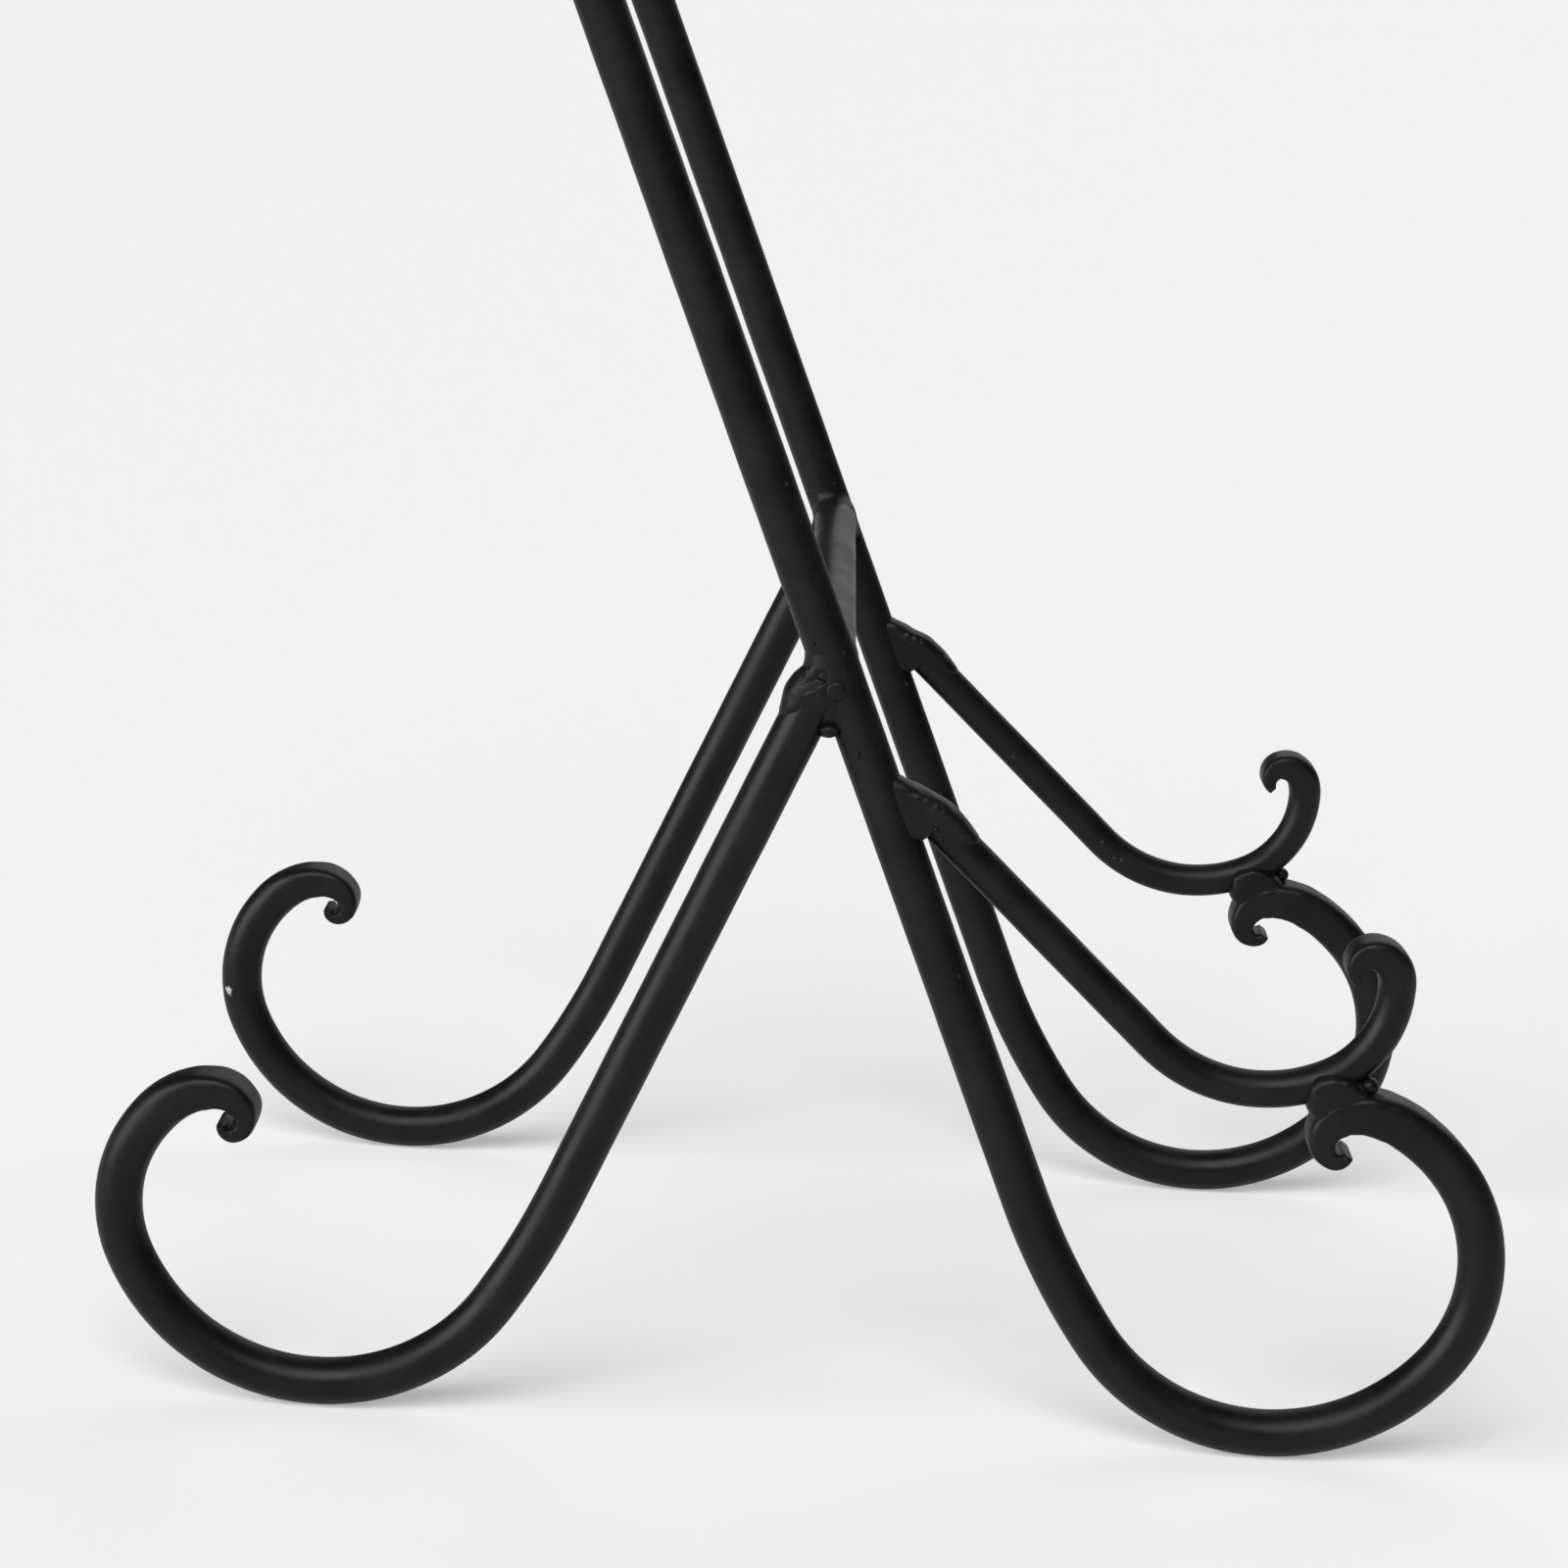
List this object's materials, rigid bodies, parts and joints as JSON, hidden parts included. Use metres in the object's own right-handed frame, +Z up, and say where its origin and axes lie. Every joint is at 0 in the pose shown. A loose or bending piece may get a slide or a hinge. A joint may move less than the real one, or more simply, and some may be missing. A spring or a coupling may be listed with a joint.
{
  "type": "display easel",
  "caption": "Tabletop easel of bent round iron bar: two scroll-footed side frames with shelf hooks, joined by crossbars, that hold a plate or an open book upright.",
  "frame": {"origin": "on the floor, midway between the two side frames and midway between the front and the back of the footprint", "axes": "+Z up from the floor, X across from one side frame to the other, -Y towards the front, where the shelf hooks reach out"},
  "size_m": [0.1618, 0.2388, 0.2946],
  "materials": {
    "bar_paint": "satin black paint over round mild steel bar, faint brush and dust texture, chips at forged edges",
    "weld_paint": "lumpy weld metal under the same black paint, with rust breaking through in the tight corners"
  },
  "bodies": {
    "root": {"left_upright": "bar_paint", "right_upright": "bar_paint", "left_rear_leg": "bar_paint", "right_rear_leg": "bar_paint", "left_shelf_hook": "bar_paint", "right_shelf_hook": "bar_paint", "lower_crossbar": "bar_paint", "upper_crossbar": "bar_paint", "left_leg_weld": "weld_paint", "right_leg_weld": "weld_paint", "left_hook_top_weld": "weld_paint", "right_hook_top_weld": "weld_paint", "left_hook_foot_weld": "weld_paint", "right_hook_foot_weld": "weld_paint", "left_lower_crossbar_weld": "weld_paint", "right_lower_crossbar_weld": "weld_paint", "left_upper_crossbar_weld": "weld_paint", "right_upper_crossbar_weld": "weld_paint"}
  },
  "joints": []
}
